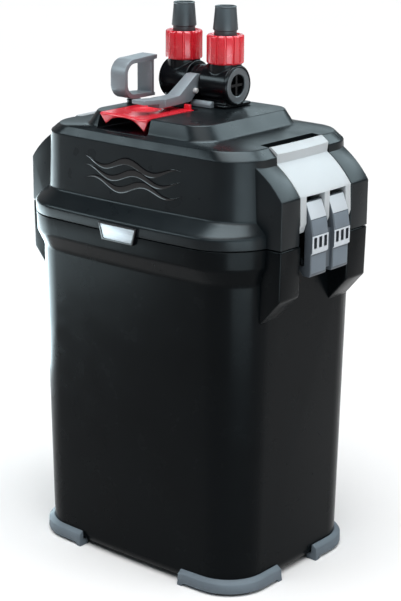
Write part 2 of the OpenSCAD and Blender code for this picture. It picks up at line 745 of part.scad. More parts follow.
module ceramic_rings() color([0.86, 0.83, 0.76])
    for (x = [0:6]) for (y = [0:4]) for (k = [0:2])
        translate([-45 + 19.2 * x + (k % 2) * 3, -36.8 + 18.4 * y, tier_z + 13 + 18.5 * k])
            rotate([90, 0, 35 * ((x + y) % 2)]) difference() {
                cylinder(r = 8, h = 14, center = true, $fn = 24);
                cylinder(r = 4, h = 20, center = true, $fn = 16);
            }

module carbon_pad() color(black) basket_shape(3, tier_z + tier_h + 2.6, tier_z + tier_h + 26);
module polishing_pad() color([0.9, 0.9, 0.88])
    basket_shape(3, tier_z + 2 * tier_h + 2.6, tier_z + 2 * tier_h + 22);

// ---------------------------------------------------------------- assembly

canister_case();
corner_foot(-1, -1);  // foot_front_left
corner_foot(1, -1);  // foot_front_right
corner_foot(-1, 1);  // foot_back_left
corner_foot(1, 1);  // foot_back_right
head_cover();
head_base();
head_gasket();
base_screws();
badge_bezel();
badge_plate();
front_inlay();
cable_gland();
motor_stator();
impeller_well();
impeller_shaft();
shaft_bushes();
impeller_magnet();
impeller_wheel();
impeller_cover();
duct(-1, 236);  // inlet_duct
duct(1, base_z);  // outlet_duct
primer_gland();
primer_cylinder();
primer_handle();
primer_rod();
primer_piston();
primer_seal();
valve_body();
valve_seals();
valve_end_caps();
valve_latch();
valve_lever();
valve_hub();
valve_rotor(-1);  // valve_rotor_left
valve_rotor(1);  // valve_rotor_right
lever_catch_pin();
hose_nut(-1);  // hose_nut_left
hose_nut(1);  // hose_nut_right
hose_cuff(-1);  // hose_cuff_left
hose_cuff(1);  // hose_cuff_right
release_lever();
release_lever_pin();
clamp_lever(-1);  // clamp_lever_left
clamp_lever(1);  // clamp_lever_right
clamp_hooks(-1);  // clamp_hooks_left
clamp_hooks(1);  // clamp_hooks_right
clamp_hinge_pin(-1);  // clamp_hinge_pin_left
clamp_hinge_pin(1);  // clamp_hinge_pin_right
clamp_link_pin(-1);  // clamp_link_pin_left
clamp_link_pin(1);  // clamp_link_pin_right
foam_frame();
foam_pads();
media_basket(0);  // basket_bottom
media_basket(1);  // basket_middle
media_basket(2);  // basket_top
basket_cover();
ceramic_rings();
carbon_pad();
polishing_pad();
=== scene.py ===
"""Looks for a canister filter: camera, studio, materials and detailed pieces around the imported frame.

Shapes are drawn in millimetres, in the frame's own axes, and become metres when a piece is made.
Front is -Y, the clamps are on +X and -X, and Z is up from the floor.
"""

import json
import math

import bmesh
import bpy
from mathutils import Matrix, Vector


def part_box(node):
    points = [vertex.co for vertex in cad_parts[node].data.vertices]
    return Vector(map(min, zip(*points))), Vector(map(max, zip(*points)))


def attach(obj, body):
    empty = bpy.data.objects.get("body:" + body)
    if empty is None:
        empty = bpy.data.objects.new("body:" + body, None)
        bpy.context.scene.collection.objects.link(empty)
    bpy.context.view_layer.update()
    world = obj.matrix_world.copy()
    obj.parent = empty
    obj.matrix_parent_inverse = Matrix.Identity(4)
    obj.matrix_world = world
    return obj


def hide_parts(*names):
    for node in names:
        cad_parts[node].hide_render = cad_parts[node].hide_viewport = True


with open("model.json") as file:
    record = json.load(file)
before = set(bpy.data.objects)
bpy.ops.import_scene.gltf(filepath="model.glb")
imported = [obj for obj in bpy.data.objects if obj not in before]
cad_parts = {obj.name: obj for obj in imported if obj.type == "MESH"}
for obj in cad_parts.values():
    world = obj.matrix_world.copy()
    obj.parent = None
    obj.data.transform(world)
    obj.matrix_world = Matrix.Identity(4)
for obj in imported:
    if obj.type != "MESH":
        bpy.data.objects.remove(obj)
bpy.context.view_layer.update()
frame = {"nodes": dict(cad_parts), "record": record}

MM = 0.001
SIDES = {"left": -1, "right": 1}


def mm_box(node):
    """Lowest and highest corner of a CAD node, in millimetres."""
    low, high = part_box(node)
    return low / MM, high / MM


def middle(node):
    low, high = mm_box(node)
    return (low + high) / 2


# ---------------------------------------- sizes, in millimetres

BOW = 0.055                                  # bulge of the front and back, part of the half depth
SEAM_Z = mm_box("head_cover")[0].z           # lower edge of the head
CASE_TOP = mm_box("canister_case")[1].z
CHEEK_X = mm_box("head_cover")[1].x          # outer face of the clamp cheeks
CHEEK_Y = 51.5                               # outer side of the cheeks
PLATFORM_Z = mm_box("head_cover")[1].z
LID_Z = PLATFORM_Z - 13                      # top edge of the lid's chamfer
COLLAR_W, COLLAR_D = 215, 163.4
CASE_W, CASE_D = 207, 147
VALVE = middle("valve_rotor_left")           # y and z of the valve's axis
BARREL_R = (mm_box("valve_end_caps")[1].z - mm_box("valve_end_caps")[0].z) / 2
PORT = {side: middle("hose_nut_" + side).x for side in SIDES}
VALVE_X = (PORT["left"] + PORT["right"]) / 2
VALVE_AXIS = (0, VALVE.y, VALVE.z)
BARREL_OUT = 11.1                            # from a port to its barrel's outer end
NUT_LOW, NUT_HIGH = (mm_box("hose_nut_left")[k].z for k in (0, 1))
NUT_R = mm_box("hose_nut_left")[1].y - VALVE.y
CUFF_LOW, CUFF_HIGH = (mm_box("hose_cuff_left")[k].z for k in (0, 1))
SKIN_X, SKIN_Z = 57.4, 251.3                 # centre of the arc that lever and cheeks follow
HINGE = (113, 0, 272)                        # hinge of the right clamp lever
LINK = (116.5, 0, 284)                       # link pin between the lever and its hooks

# ---------------------------------------- materials

MATERIALS = {}


def new_material(name, colour, roughness, metallic=0.0, specular=0.5):
    """A plain material under its name in MATERIALS, with its node tree and shader."""
    material = bpy.data.materials.new(name)
    MATERIALS[name] = material
    material.use_nodes = True
    shader = material.node_tree.nodes["Principled BSDF"]
    shader.inputs["Base Color"].default_value = (*colour, 1)
    shader.inputs["Roughness"].default_value = roughness
    shader.inputs["Metallic"].default_value = metallic
    shader.inputs["Specular IOR Level"].default_value = specular
    return material.node_tree, shader


def noise(tree, scale, detail=3.0, stretch=(1, 1, 1)):
    """Noise in object coordinates. The scale is in waves per metre."""
    place = tree.nodes.new("ShaderNodeTexCoord")
    mapping = tree.nodes.new("ShaderNodeMapping")
    mapping.inputs["Scale"].default_value = stretch
    texture = tree.nodes.new("ShaderNodeTexNoise")
    texture.inputs["Scale"].default_value = scale
    texture.inputs["Detail"].default_value = detail
    tree.links.new(place.outputs["Object"], mapping.inputs["Vector"])
    tree.links.new(mapping.outputs["Vector"], texture.inputs["Vector"])
    return texture.outputs["Fac"]


def spread(tree, value, low, high):
    """Maps the middle of a noise to the range low..high."""
    node = tree.nodes.new("ShaderNodeMapRange")
    node.inputs["From Min"].default_value = 0.3
    node.inputs["From Max"].default_value = 0.7
    node.inputs["To Min"].default_value = low
    node.inputs["To Max"].default_value = high
    tree.links.new(value, node.inputs["Value"])
    return node.outputs["Result"]


def blend_colours(tree, factor, first, second):
    node = tree.nodes.new("ShaderNodeMix")
    node.data_type = "RGBA"
    node.inputs["A"].default_value = (*first, 1)
    node.inputs["B"].default_value = (*second, 1)
    tree.links.new(factor, node.inputs["Factor"])
    return node.outputs["Result"]


def bump(tree, shader, height, strength, depth):
    node = tree.nodes.new("ShaderNodeBump")
    node.inputs["Strength"].default_value = strength
    node.inputs["Distance"].default_value = depth
    tree.links.new(height, node.inputs["Height"])
    tree.links.new(node.outputs["Normal"], shader.inputs["Normal"])


def tint(colour, amount):
    return tuple(min(1, c * amount) for c in colour)


def plastic(name, colour, roughness, grain=0.25, grain_scale=1400, specular=0.5, mottle=0.12):
    """Moulded plastic: fine spark-eroded grain, slight mottling and uneven gloss."""
    tree, shader = new_material(name, colour, roughness, specular=specular)
    cloud = spread(tree, noise(tree, 22, 4), 0, 1)
    mottled = blend_colours(tree, cloud, tint(colour, 1 - mottle), tint(colour, 1 + mottle))
    tree.links.new(mottled, shader.inputs["Base Color"])
    uneven = spread(tree, noise(tree, 60, 5), roughness - 0.04, roughness + 0.05)
    tree.links.new(uneven, shader.inputs["Roughness"])
    bump(tree, shader, noise(tree, grain_scale, 2), grain, 0.0001)


def brushed(name, colour, roughness):
    """Brushed or turned metal: long fine scratches along X."""
    tree, shader = new_material(name, colour, roughness, metallic=1.0)
    streaks = noise(tree, 900, 4, (0.04, 1, 1))
    tree.links.new(blend_colours(tree, spread(tree, streaks, 0, 1), tint(colour, 0.8), tint(colour, 1.1)),
                   shader.inputs["Base Color"])
    tree.links.new(spread(tree, streaks, roughness - 0.08, roughness + 0.12), shader.inputs["Roughness"])
    bump(tree, shader, streaks, 0.3, 0.00005)


def porous(name, colour, cell_scale, depth):
    """Open-cell foam or fired ceramic: Voronoi pores with darker hollows."""
    tree, shader = new_material(name, colour, 0.9)
    place = tree.nodes.new("ShaderNodeTexCoord")
    cells = tree.nodes.new("ShaderNodeTexVoronoi")
    cells.inputs["Scale"].default_value = cell_scale
    tree.links.new(place.outputs["Object"], cells.inputs["Vector"])
    tree.links.new(blend_colours(tree, cells.outputs["Distance"], tint(colour, 1.3), tint(colour, 0.4)),
                   shader.inputs["Base Color"])
    bump(tree, shader, cells.outputs["Distance"], 0.8, depth)


plastic("case_plastic", (0.0022, 0.0032, 0.0040), 0.24, grain=0.06, specular=0.05)
plastic("head_plastic", (0.0055, 0.0080, 0.0098), 0.30, grain=0.08, specular=0.12)
plastic("black_plastic", (0.006, 0.006, 0.008), 0.34, specular=0.25)
plastic("foot_rubber", (0.100, 0.124, 0.148), 0.62, grain=0.5, grain_scale=1700, specular=0.3)
plastic("seal_rubber", (0.012, 0.012, 0.012), 0.6, grain=0.4)
brushed("steel", (0.62, 0.63, 0.65), 0.28)
plastic("badge_black", (0.004, 0.004, 0.006), 0.12, grain=0.03, specular=0.35)
plastic("inlay_gloss", (0.003, 0.003, 0.004), 0.10, grain=0.02, specular=0.30)
brushed("badge_metal", (0.31, 0.315, 0.33), 0.38)
plastic("stator_core", (0.03, 0.03, 0.035), 0.45)
porous("ceramic", (0.62, 0.58, 0.48), 1800, 0.0003)
plastic("magnet", (0.02, 0.02, 0.022), 0.3)
plastic("impeller_plastic", (0.66, 0.67, 0.66), 0.35, grain=0.08)
plastic("clear_grey_plastic", (0.28, 0.29, 0.31), 0.25, grain=0.05)
plastic("light_grey_plastic", (0.175, 0.205, 0.225), 0.40, grain=0.12, mottle=0.05)
plastic("hook_plastic", (0.055, 0.066, 0.080), 0.46, grain=0.12, mottle=0.06, specular=0.4)
plastic("valve_plastic", (0.004, 0.0045, 0.006), 0.20, grain=0.04, specular=0.12)
plastic("cuff_plastic", (0.028, 0.036, 0.042), 0.40, grain=0.12, specular=0.35)
plastic("red_plastic", (0.72, 0.012, 0.028), 0.26, grain=0.04, mottle=0.04)
porous("foam", (0.03, 0.04, 0.06), 1200, 0.0005)
porous("carbon_foam", (0.015, 0.015, 0.015), 1200, 0.0005)
plastic("lever_grey", (0.47, 0.50, 0.52), 0.42, grain=0.10, mottle=0.03, specular=0.15)
plastic("arm_grey", (0.21, 0.24, 0.265), 0.40, grain=0.12, mottle=0.05, specular=0.3)
plastic("cap_grey", (0.070, 0.084, 0.095), 0.38, grain=0.10)
plastic("patch_grey", (0.125, 0.152, 0.182), 0.55, grain=1.0, grain_scale=1100, mottle=0.08, specular=0.3)
plastic("ridge_grey", (0.50, 0.54, 0.58), 0.42, grain=0.10, mottle=0.03)

for entry in frame["record"]["subparts"]:
    node = frame["nodes"][entry["node"]]
    node.data.materials.clear()
    node.data.materials.append(MATERIALS[entry["material_slot"]])

# ---------------------------------------- mesh tools


def loft(loops):
    """Skin through loops that have the same number of points, closed at both ends."""
    bm = bmesh.new()
    rows = [[bm.verts.new(p) for p in loop] for loop in loops]
    count = len(rows[0])
    for low, high in zip(rows, rows[1:]):
        for i in range(count):
            j = (i + 1) % count
            bm.faces.new((low[i], low[j], high[j], high[i]))
    bm.faces.new(reversed(rows[0]))
    bm.faces.new(rows[-1])
    return bm


def closed_loft(sections):
    """Skin round a closed series of sections, such as a lathe's turns."""
    bm = bmesh.new()
    rows = [[bm.verts.new(p) for p in section] for section in sections]
    count = len(rows[0])
    for a, b in zip(rows, rows[1:] + rows[:1]):
        for i in range(count):
            j = (i + 1) % count
            bm.faces.new((a[i], a[j], b[j], b[i]))
    return bm


def lathe(profile, centre=(0, 0, 0), axis="z", steps=72):
    """Turns a closed profile of (radius, height) points about an axis through centre."""
    sections = []
    for k in range(steps):
        angle = math.tau * k / steps
        c, s = math.cos(angle), math.sin(angle)
        if axis == "z":
            section = [(r * c, r * s, h) for r, h in profile]
        elif axis == "x":
            section = [(h, r * c, r * s) for r, h in profile]
        else:
            section = [(r * s, h, r * c) for r, h in profile]
        sections.append([Vector(p) + Vector(centre) for p in section])
    bm = closed_loft(sections)
    if min(r for r, _ in profile) == 0:
        bmesh.ops.remove_doubles(bm, verts=bm.verts, dist=0.0005)
        bmesh.ops.delete(bm, geom=[e for e in bm.edges if not e.link_faces], context="EDGES")
        bmesh.ops.recalc_face_normals(bm, faces=bm.faces)
    return bm


def rod(axis, centre, radius, low, high, steps=64):
    return lathe([(0, low), (radius, low), (radius, high), (0, high)], centre, axis, steps)


def prism(profile, low, high, axis="y", bevel=0.6, segments=3, sharp=25):
    """Extrudes a profile along x, y or z and rounds the edges sharper than `sharp` degrees."""
    def place(p, along):
        if axis == "y":
            return (p[0], along, p[1])
        if axis == "x":
            return (along, p[0], p[1])
        return (p[0], p[1], along)
    bm = loft([[place(p, along) for p in profile] for along in (low, high)])
    bmesh.ops.recalc_face_normals(bm, faces=bm.faces)
    if bevel:
        round_edges(bm, bevel, segments, sharp)
    return bm


def round_edges(bm, width, segments=3, sharp=25):
    edges = [e for e in bm.edges if e.calc_face_angle(0) > math.radians(sharp)]
    bmesh.ops.bevel(bm, geom=edges, offset=width, segments=segments, profile=0.5, affect="EDGES",
                    clamp_overlap=True)


def block(x0, x1, y0, y1, z0, z1, bevel=0.5, segments=3):
    return prism([(x0, y0), (x1, y0), (x1, y1), (x0, y1)], z0, z1, "z", bevel, segments)


def arc(cx, cz, radius, start, end, steps=10):
    """Points of an arc from start to end, in degrees from the first axis."""
    turns = [math.radians(start + (end - start) * i / steps) for i in range(steps + 1)]
    return [(cx + radius * math.cos(a), cz + radius * math.sin(a)) for a in turns]


def fillet(points, radii, steps=5):
    """Rounds the corners of a closed outline. One radius for each point, or one for all."""
    if isinstance(radii, (int, float)):
        radii = [radii] * len(points)
    out = []
    for i, (p, r) in enumerate(zip(points, radii)):
        p, before, after = Vector(p), Vector(points[i - 1]), Vector(points[(i + 1) % len(points)])
        if r == 0:
            out.append(tuple(p))
            continue
        a = p + (before - p).normalized() * min(r, (before - p).length / 2.01)
        b = p + (after - p).normalized() * min(r, (after - p).length / 2.01)
        for k in range(steps + 1):
            t = k / steps
            out.append(tuple(a * (1 - t) ** 2 + p * 2 * t * (1 - t) + b * t * t))
    return out


def to_object(bm, name="part"):
    bmesh.ops.recalc_face_normals(bm, faces=bm.faces)
    mesh = bpy.data.meshes.new(name)
    bm.to_mesh(mesh)
    bm.free()
    made = bpy.data.objects.new(name, mesh)
    bpy.context.scene.collection.objects.link(made)
    return made


def apply_modifiers(made):
    graph = bpy.context.evaluated_depsgraph_get()
    mesh = bpy.data.meshes.new_from_object(made.evaluated_get(graph))
    old = made.data
    made.modifiers.clear()
    made.data = mesh
    bpy.data.meshes.remove(old)


def combine(base, tools, operation="UNION"):
    """Adds the tools to base, or cuts them out of it."""
    helpers = [to_object(t, "tool") for t in tools]
    for helper in helpers:
        modifier = base.modifiers.new("combine", "BOOLEAN")
        modifier.operation = operation
        modifier.solver = "EXACT"
        modifier.object = helper
    apply_modifiers(base)
    for helper in helpers:
        mesh = helper.data
        bpy.data.objects.remove(helper)
        bpy.data.meshes.remove(mesh)
    return base


def solid(adds, cuts=(), name="part"):
    made = to_object(adds[0], name)
    if adds[1:]:
        combine(made, adds[1:])
    if cuts:
        combine(made, cuts, "DIFFERENCE")
    return made


def both_sides(profile, s):
    """A profile drawn for the right side, or its mirror image where s is -1."""
    return [(s * x, z) for x, z in profile]


def mirrored(made, name):
    """A copy of made on the other side of the YZ plane."""
    copy = made.copy()
    copy.data = made.data.copy()
    copy.name = name
    bpy.context.scene.collection.objects.link(copy)
    copy.data.transform(Matrix.Scale(-1, 4, (1, 0, 0)))
    copy.data.flip_normals()
    return copy


def finish_piece(made, name, look, body, nodes=(), crease=32):
    """Turns a shape in millimetres into a shaded piece that rides on a body. look names its material."""
    made.name = name
    made.data.name = name
    made.data.transform(Matrix.Scale(MM, 4))
    made.data.materials.clear()
    made.data.materials.append(MATERIALS[look])
    for polygon in made.data.polygons:
        polygon.material_index = 0
        polygon.use_smooth = True
    made.data.set_sharp_from_angle(angle=math.radians(crease))
    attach(made, body)
    if nodes:
        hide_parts(*nodes)
    return made


# ---------------------------------------- outlines of case and head

CORNER_STEPS = 12
SIDE_STEPS = 14


def outline(key):
    """Rounded rectangle whose front and back bulge. key is (width, depth, radius, z, centre y, bulge)."""
    w, d, r, z, cy, bulge = key
    cx, cc = w / 2 - r, d / 2 - r
    points = []
    for k, (x, y) in enumerate(((cx, -cc), (cx, cc), (-cx, cc), (-cx, -cc))):
        points += arc(x, y, r, 90 * k - 90, 90 * k, CORNER_STEPS)
        if k in (1, 3):
            side = 1 if k == 1 else -1
            points += [(side * cx * (1 - 2 * i / SIDE_STEPS), side * d / 2) for i in range(1, SIDE_STEPS)]
    return [Vector((x, cy + y * (1 + bulge * (1 - (2 * x / w) ** 2)), z)) for x, y in points]


def rounded_stack(keys, steps=6):
    """Rings through key rings, each key rounded over its own distance. keys: [(ring, distance), ...]."""
    def step(a, b, t):
        return tuple(p + (q - p) * t for p, q in zip(a, b))

    def gap(a, b):
        return math.hypot((a[0] - b[0]) / 2, a[3] - b[3])
    rings = [keys[0][0]]
    for (before, _), (key, distance), (after, _) in zip(keys, keys[1:], keys[2:]):
        if distance == 0:
            rings.append(key)
            continue
        a = step(key, before, min(distance / gap(key, before), 0.48))
        b = step(key, after, min(distance / gap(key, after), 0.48))
        for i in range(steps + 1):
            t = i / steps
            rings.append(step(step(a, key, t), step(key, b, t), t))
    rings.append(keys[-1][0])
    return [outline(key) for key in rings]


def ring(w, d, r, z, cy=0.0, bulge=BOW):
    return (w, d, r, z, cy, bulge)


# ---------------------------------------- case and feet

POCKET_X = 104.6                             # floor of the pocket behind the hooks
CASE_CHEEK_IN = 28.4                         # inner side of the case's cheeks
CASE_CHEEK = [(98, CASE_TOP), (CHEEK_X, CASE_TOP), (CHEEK_X - 0.8, 224), (CHEEK_X - 4, 220.5), (102, 205.5),
              (96, 205.5)]
CATCH_RIB = [(102.4, 252), (111.5, 252), (116.2, 249.2), (116.2, 245), (113, 244.8), (102.4, 244.8)]


def make_case():
    shell = to_object(loft(rounded_stack([
        (ring(CASE_W - 80, CASE_D - 70, 10, 4), 0),
        (ring(CASE_W - 13, CASE_D - 11, 28, 4), 2),
        (ring(CASE_W - 8.6, CASE_D - 6.2, 29, 9), 2),
        (ring(CASE_W - 0.6, CASE_D, 32, SEAM_Z - 26.2), 2.2),
        (ring(COLLAR_W - 1.2, COLLAR_D - 1.2, 39.5, SEAM_Z - 14.3), 1.6),
        (ring(COLLAR_W, COLLAR_D, 40, CASE_TOP), 0.7),
        (ring(COLLAR_W - 6, COLLAR_D - 9, 36, CASE_TOP), 0.5),
        (ring(CASE_W - 6, CASE_D - 6, 29, CASE_TOP - 1), 1),
        (ring(CASE_W - 8, CASE_D - 8, 28, SEAM_Z - 24), 2),
        (ring(CASE_W - 18, CASE_D - 16, 26, 8), 3),
        (ring(60, 40, 8, 8), 0),
    ])), "case")
    cheeks, pockets, ribs = [], [], []
    for s in SIDES.values():
        for y in (-CHEEK_Y, CASE_CHEEK_IN):
            cheeks.append(prism(both_sides(CASE_CHEEK, s), y, y + CHEEK_Y - CASE_CHEEK_IN, bevel=1.3))
        x0, x1 = sorted((s * POCKET_X, s * 130))
        pockets.append(block(x0, x1, -CASE_CHEEK_IN, CASE_CHEEK_IN, 200, 270, bevel=0.8))
        ribs.append(prism(both_sides(CATCH_RIB, s), -23.6, 23.6, bevel=0.4))
    inside = loft([outline(ring(CASE_W - 8, CASE_D - 8, 28, z)) for z in (150, CASE_TOP + 3)])
    combine(shell, cheeks)
    combine(shell, [inside] + pockets, "DIFFERENCE")
    combine(shell, ribs)
    return finish_piece(shell, "case_shell", "case_plastic", "canister", ["canister_case"])


FOOT_PLACES = {"front_left": (-1, -1), "front_right": (1, -1), "back_left": (-1, 1), "back_right": (1, 1)}
FOOT_END_X, FOOT_END_Y = 50, 22              # where a foot ends along the front and along the side
FOOT_ARCH = 2.4                              # height of the arch between a foot's two toes
TOE = 4.2                                    # length of a toe along the edge


def foot_path(w, d, r, grow):
    """Points of a corner foot's outline, from the front end round the corner to the side end."""
    start = FOOT_END_X - grow
    points = [(start + a, -d / 2) for a in (0, TOE, TOE + 0.9, 12, w / 2 - r - start)]
    points += arc(w / 2 - r, r - d / 2, r, -90, 0, 14)[1:-1]
    end = -FOOT_END_Y + grow
    points += [(w / 2, end - a) for a in (d / 2 - r + end, 12, TOE + 0.9, TOE, 0)]
    return [Vector((x, y * (1 + BOW * (1 - (2 * x / w) ** 2)))) for x, y in points]


def make_foot(sx, sy, name):
    """Band with a sloping ledge against the case wall and a toe at each end."""
    sections = [(208, 148.6, 32, 0.0, 0.8), (207, 148.0, 31, 9.0, 0.2), (205.8, 147, 30.5, 9.9, 0.0),
                (199.4, 141.6, 29, 12.0, 0.0), (198.2, 140.4, 29, 11.6, 0.0), (197.6, 139.8, 29, 5, 0.2),
                (190, 132, 26, 4, 0.5), (189, 131, 26, 0.0, 0.8)]
    paths = [(foot_path(w, d, r, grow), z) for w, d, r, z, grow in sections]
    last = len(paths[0][0]) - 1
    bm = bmesh.new()
    rows = []
    for i in range(last + 1):
        toe = i <= 1 or i >= last - 1
        lift = 0 if toe else FOOT_ARCH
        rows.append([bm.verts.new((p[i].x * sx, p[i].y * -sy, max(z, lift))) for p, z in paths])
    count = len(sections)
    for a, b in zip(rows, rows[1:]):
        for k in range(count):
            bm.faces.new((a[k], a[(k + 1) % count], b[(k + 1) % count], b[k]))
    bm.faces.new(rows[0])
    bm.faces.new(rows[-1])
    bmesh.ops.recalc_face_normals(bm, faces=bm.faces)
    round_edges(bm, 0.45, 2, 40)
    return finish_piece(to_object(bm), name, "foot_rubber", "canister", [name.replace("_piece", "")])


def make_foot_arch_shade(sx, sy, name):
    """Dark piece that fills the arch under the middle of a foot: painted shade beneath the foot."""
    turns = [math.radians(20 + 50 * i / 8) for i in range(9)]
    outer = [(sx * (72 + 29 * math.cos(a)), sy * (42.5 + 31 * math.sin(a))) for a in turns]
    inner = [(sx * (72 + 20 * math.cos(a)), sy * (42.5 + 22 * math.sin(a))) for a in turns]
    pad = to_object(prism(outer + inner[::-1], 0.05, FOOT_ARCH + 0.2, "z", 0.4))
    return finish_piece(pad, name, "seal_rubber", "canister")


# ---------------------------------------- head

RECESS = (-41, 7.6, -5.5)                    # left, right and back of the recess
RECESS_FLOOR = LID_Z + 1.2
CHEEK_R = 74.8                               # outer arc of the cheeks
LIP_SLOT_X, LIP_SLOT_Z = 83, 315.8           # inner end and floor of the finger slots
HEAD_CHEEK_IN = 30.3                         # inner side of the head's cheeks
# Width, depth and corner radius of the head wall's lower and upper edge
WALL_LOW, WALL_HIGH = (200.6, 136.8, 30), (195.4, 133, 26)
PLATFORM_Y = -5                              # middle of the raised platform


def head_rings():
    return rounded_stack([
        (ring(70, 40, 10, 321), 0),
        (ring(150, 112, 22, 321), 3),
        (ring(156, 116, 22, 312), 4),
        (ring(180, 124, 22, SEAM_Z + 20), 4),
        (ring(196, 136, 29, SEAM_Z + 8), 3),
        (ring(COLLAR_W - 8, COLLAR_D - 12, 36, SEAM_Z), 0.5),
        (ring(COLLAR_W, COLLAR_D, 40, SEAM_Z), 0.6),
        (ring(COLLAR_W - 1.2, COLLAR_D + 1, 39, SEAM_Z + 8.6), 2.2),
        (ring(*WALL_LOW, SEAM_Z + 16.9), 1.8),
        (ring(*WALL_HIGH, LID_Z - 5.9), 0.9),
        (ring(181, 127.5, 25, LID_Z), 1.0),
        (ring(122, 113, 19.5, LID_Z + 2.5, PLATFORM_Y, 0), 2.2),
        (ring(106, 106, 16, PLATFORM_Z, PLATFORM_Y, 0), 0.9),
        (ring(50, 50, 6, PLATFORM_Z, PLATFORM_Y, 0), 0),
    ])


def make_head():
    shell = to_object(loft(head_rings()), "head")
    cheeks, cuts = [], []
    cheek = [(93.5, SEAM_Z), (CHEEK_X, SEAM_Z)] + arc(SKIN_X, SKIN_Z, CHEEK_R, 34.9, 59, 16)
    cheek.append((93.5, LIP_SLOT_Z))
    under_skin = arc(SKIN_X, SKIN_Z, PLATE_R - 3.8, 50, 63, 10) + [(88, 330), (120, 330), (120, 298)]
    for s in SIDES.values():
        for y in (-CHEEK_Y, HEAD_CHEEK_IN):
            cheeks.append(prism(both_sides(cheek, s), y, y + CHEEK_Y - HEAD_CHEEK_IN, bevel=0.8, sharp=15))
        for x, z0, z1 in ((101, 250, 298), (LIP_SLOT_X, LIP_SLOT_Z, 345)):
            x0, x1 = sorted((s * x, s * 130))
            cuts.append(block(x0, x1, -HEAD_CHEEK_IN, HEAD_CHEEK_IN, z0, z1, bevel=0.8))
        cuts.append(prism(both_sides(under_skin, s), -HEAD_CHEEK_IN, HEAD_CHEEK_IN))
    for side in SIDES:
        cuts.append(rod("z", (PORT[side], VALVE.y, 0), 9.6, 300, 350, 40))
    primer = middle("primer_rod")
    cuts.append(rod("z", (primer.x, primer.y, 0), 5.1, 300, 350, 40))
    left, right, back = RECESS
    floor_cut = [(left, -75), (right, -75), (right, back), (left, back)]
    cuts.append(prism(floor_cut, RECESS_FLOOR, 350, "z", bevel=1.2))
    combine(shell, cheeks)
    combine(shell, cuts, "DIFFERENCE")
    return finish_piece(shell, "head_shell", "head_plastic", "canister", ["head_cover"], crease=28)


def make_recess_liner():
    """Gloss black floor of the recess, down to the lid's front edge."""
    left, right, back = RECESS
    left, right, back = left + 0.3, right - 0.3, back - 0.3
    plan = [(left, back), (left, -62.8), (-25, -63.9), (-8, -63.9), (right, -63.1), (right, back)]
    liner = to_object(prism(plan, RECESS_FLOOR - 0.4, RECESS_FLOOR + 0.35, "z", 0.2))
    return finish_piece(liner, "recess_liner", "badge_black", "canister")


# ---------------------------------------- clamps

LEVER_X = mm_box("clamp_lever_right")[1].x
LEVER_HALF = mm_box("clamp_lever_right")[1].y
PLATE_R, ARRIS_A, LIP_A = 75.5, 34.7, 57.3   # outer arc of the lever's skin and where it starts and ends
PAD_X = 124                                  # outer face of the hook pads at the slots
GRIP_X = 122.6                               # outer face of the grip below the slots
RAMP_LOW = (121.9, 277.9)                    # where the entry ramp starts, in XZ
SLOT_LOW, SLOT_HIGH = 257.4, 265.2
PRONGS = (-13, 13)                           # middle of each prong in Y
LEG_SPANS = ((-LEVER_HALF, -23.2), (-3, 3), (23.2, LEVER_HALF))   # the lever's three legs in Y


def bow_in(made, depth, rows):
    """Cuts loops along Y and draws the ends in towards the middle, away from the hinge."""
    bm = bmesh.new()
    bm.from_mesh(made.data)
    for y in rows:
        everything = bm.verts[:] + bm.edges[:] + bm.faces[:]
        bmesh.ops.bisect_plane(bm, geom=everything, plane_co=(0, y, 0), plane_no=(0, 1, 0))
    for v in bm.verts:
        far = math.hypot(v.co.x - HINGE[0], v.co.z - HINGE[2])
        weight = min(1, max(0, (far - 5) / 5))
        v.co.x -= depth * weight * (v.co.y / LEVER_HALF) ** 2
    bm.to_mesh(made.data)
    bm.free()


def make_clamp_lever():
    """Curved skin with a finger lip, on three legs that reach down to the hinge and the link pin."""
    skin = [(LEVER_X, 294.2)] + arc(SKIN_X, SKIN_Z, PLATE_R, ARRIS_A, LIP_A, 16)
    skin += [(99, 321.6), (98, 322.6), (93.2, 325.9), (91.6, 325.6), (91, 324.6), (93.4, 317.6)]
    skin += arc(SKIN_X, SKIN_Z, PLATE_R - 3.3, LIP_A - 1.3, ARRIS_A + 1, 16) + [(LEVER_X - 3.4, 294.2)]
    leg = [(109, 270), (114.6, 268.6), (117.6, 271.4), (LEVER_X, 275.6)]
    leg += arc(SKIN_X, SKIN_Z, PLATE_R - 0.02, ARRIS_A, 54, 12) + [(100.6, 311), (104.6, 296), (107.6, 284)]
    legs = [prism(leg, low, high, bevel=0.45) for low, high in LEG_SPANS]
    bosses = [rod("y", HINGE, 4.5, low, high, 32) for low, high in LEG_SPANS]
    bores = [rod("y", HINGE, 2.05, -40, 40, 24), rod("y", LINK, 1.77, -27.6, 27.6, 24)]
    made = solid([prism(skin, -LEVER_HALF, LEVER_HALF, bevel=0.45)] + legs + bosses, bores, "lever")
    bow_in(made, 1.2, [-26, -20, -14, -8, 8, 14, 20, 26])
    return made


HOOK = [(121.8, 237), (GRIP_X, 238.4), (GRIP_X, 253.2), (PAD_X - 0.15, 254.6), (PAD_X - 0.15, 266),
        RAMP_LOW, (117.2, 289.6), (115.4, 290.2), (112.8, 287.2), (112.4, 281.6), (117, 276.4),
        (117, 246.6), (116.9, 244.2), (112.6, 243.8), (112.6, 241.6), (116.4, 237)]


def slot_cuts(y):
    """Three upright slots in the pad of the prong at y."""
    middles = [y + 5.9 * k for k in (-1, 0, 1)]
    return [block(120.4, 125, m - 1.75, m + 1.75, SLOT_LOW, SLOT_HIGH, bevel=0.3) for m in middles]


def make_hooks():
    """Two prongs with three slots each, joined by a thin web."""
    prongs = [prism(HOOK, y - 9.5, y + 9.5, bevel=0.4) for y in PRONGS]
    web = block(117, 120.6, -4, 4, 240, 268, bevel=0.3)
    cuts = [cut for y in PRONGS for cut in slot_cuts(y)] + [rod("y", LINK, 1.8, -30, 30, 24)]
    return solid(prongs + [web], cuts, "hooks")


